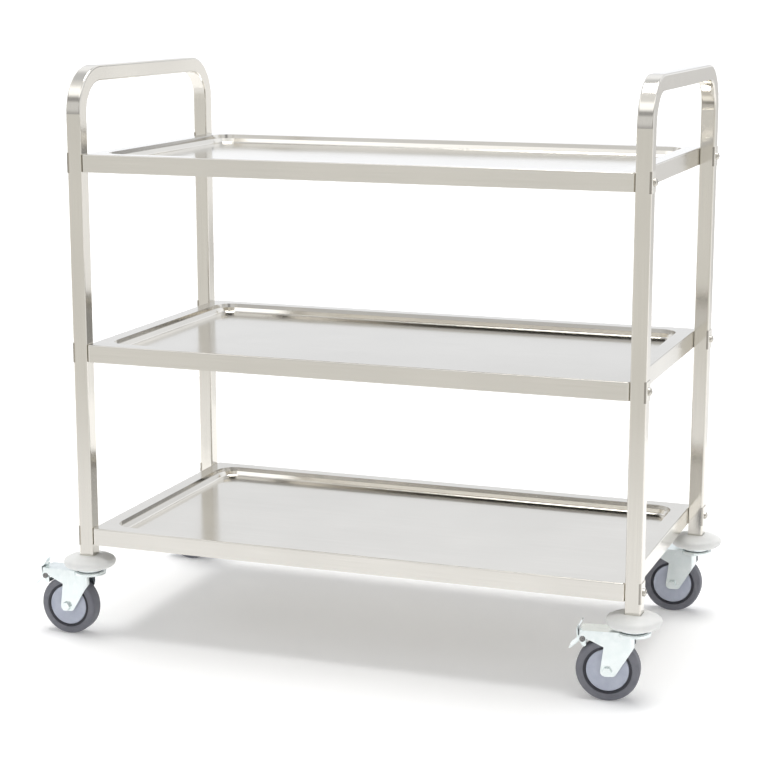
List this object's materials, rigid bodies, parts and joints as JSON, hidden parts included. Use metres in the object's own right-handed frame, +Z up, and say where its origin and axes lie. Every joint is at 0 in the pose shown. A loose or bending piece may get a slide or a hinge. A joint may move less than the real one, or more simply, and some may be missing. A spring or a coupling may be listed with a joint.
{
  "type": "food service trolley",
  "caption": "Stainless steel food service trolley: recessed trays between bent-tube end frames with handles, on swivel casters with round bumpers and foot brakes.",
  "frame": {"origin": "on the floor, below the middle of everything the trolley occupies at rest", "axes": "+X along the length towards the right end, +Y from the front long side to the back, +Z up"},
  "size_m": [1.0641, 0.556, 0.942],
  "materials": {
    "stainless_tube": "polished square tube with a fine lengthwise grain",
    "stainless_sheet": "satin sheet with a fine lengthwise grain",
    "stainless_fastener": "turned and polished",
    "zinc_plated_steel": "bright zinc plating with a cool tint",
    "bearing_steel": "smooth hardened steel",
    "grey_bumper": "moulded satin plastic",
    "nylon": "moulded",
    "grey_tyre": "soft matt rubber",
    "black_rim": "moulded",
    "grey_cover": "moulded satin plastic"
  },
  "bodies": {
    "root": {"end_frame_left": "stainless_tube", "end_frame_right": "stainless_tube", "tray_top": "stainless_sheet", "tray_middle": "stainless_sheet", "tray_bottom": "stainless_sheet", "leg_bolts": "stainless_fastener", "leg_bolt_washers": "stainless_fastener", "leg_bolt_nuts": "stainless_fastener", "leg_saddles": "stainless_sheet", "leg_plugs": "nylon", "caster_stems": "zinc_plated_steel", "swivel_balls": "bearing_steel", "bumper_front_left": "grey_bumper", "swivel_head_front_left": "zinc_plated_steel", "bumper_front_right": "grey_bumper", "swivel_head_front_right": "zinc_plated_steel", "bumper_back_left": "grey_bumper", "swivel_head_back_left": "zinc_plated_steel", "bumper_back_right": "grey_bumper", "swivel_head_back_right": "zinc_plated_steel"},
    "swivel_front_left": {"fork_front_left": "zinc_plated_steel", "axle_bolt_front_left": "zinc_plated_steel", "axle_nut_front_left": "zinc_plated_steel", "axle_sleeve_front_left": "bearing_steel", "brake_pin_front_left": "bearing_steel", "brake_spring_front_left": "bearing_steel"},
    "wheel_front_left": {"wheel_rim_front_left": "black_rim", "tyre_front_left": "grey_tyre", "wheel_covers_front_left": "grey_cover"},
    "pedal_front_left": {"brake_pedal_front_left": "zinc_plated_steel"},
    "swivel_front_right": {"fork_front_right": "zinc_plated_steel", "axle_bolt_front_right": "zinc_plated_steel", "axle_nut_front_right": "zinc_plated_steel", "axle_sleeve_front_right": "bearing_steel", "brake_pin_front_right": "bearing_steel", "brake_spring_front_right": "bearing_steel"},
    "wheel_front_right": {"wheel_rim_front_right": "black_rim", "tyre_front_right": "grey_tyre", "wheel_covers_front_right": "grey_cover"},
    "pedal_front_right": {"brake_pedal_front_right": "zinc_plated_steel"},
    "swivel_back_left": {"fork_back_left": "zinc_plated_steel", "axle_bolt_back_left": "zinc_plated_steel", "axle_nut_back_left": "zinc_plated_steel", "axle_sleeve_back_left": "bearing_steel"},
    "wheel_back_left": {"wheel_rim_back_left": "black_rim", "tyre_back_left": "grey_tyre", "wheel_covers_back_left": "grey_cover"},
    "swivel_back_right": {"fork_back_right": "zinc_plated_steel", "axle_bolt_back_right": "zinc_plated_steel", "axle_nut_back_right": "zinc_plated_steel", "axle_sleeve_back_right": "bearing_steel"},
    "wheel_back_right": {"wheel_rim_back_right": "black_rim", "tyre_back_right": "grey_tyre", "wheel_covers_back_right": "grey_cover"}
  },
  "joints": [
    {"name": "swivel_front_left", "type": "hinge", "parent": "root", "child": "swivel_front_left", "pos_m": [-0.43629, -0.235, 0.1115], "axis": [0, 0, 1], "continuous": true},
    {"name": "wheel_front_left", "type": "hinge", "parent": "swivel_front_left", "child": "wheel_front_left", "pos_m": [-0.47329, -0.235, 0.049], "axis": [0, 1, 0], "continuous": true},
    {"name": "pedal_front_left", "type": "hinge", "parent": "swivel_front_left", "child": "pedal_front_left", "pos_m": [-0.51179, -0.235, 0.098], "axis": [0, -1, 0], "range_deg": [0, 25]},
    {"name": "swivel_front_right", "type": "hinge", "parent": "root", "child": "swivel_front_right", "pos_m": [0.48871, -0.235, 0.1115], "axis": [0, 0, 1], "continuous": true},
    {"name": "wheel_front_right", "type": "hinge", "parent": "swivel_front_right", "child": "wheel_front_right", "pos_m": [0.45198, -0.23951, 0.049], "axis": [-0.1219, 0.9925, 0], "continuous": true},
    {"name": "pedal_front_right", "type": "hinge", "parent": "swivel_front_right", "child": "pedal_front_right", "pos_m": [0.41377, -0.2442, 0.098], "axis": [0.1219, -0.9925, 0], "range_deg": [0, 25]},
    {"name": "swivel_back_left", "type": "hinge", "parent": "root", "child": "swivel_back_left", "pos_m": [-0.43629, 0.235, 0.1115], "axis": [0, 0, 1], "continuous": true},
    {"name": "wheel_back_left", "type": "hinge", "parent": "swivel_back_left", "child": "wheel_back_left", "pos_m": [-0.47329, 0.235, 0.049], "axis": [0, 1, 0], "continuous": true},
    {"name": "swivel_back_right", "type": "hinge", "parent": "root", "child": "swivel_back_right", "pos_m": [0.48871, 0.235, 0.1115], "axis": [0, 0, 1], "continuous": true},
    {"name": "wheel_back_right", "type": "hinge", "parent": "swivel_back_right", "child": "wheel_back_right", "pos_m": [0.45176, 0.23306, 0.049], "axis": [-0.0523, 0.9986, 0], "continuous": true}
  ]
}
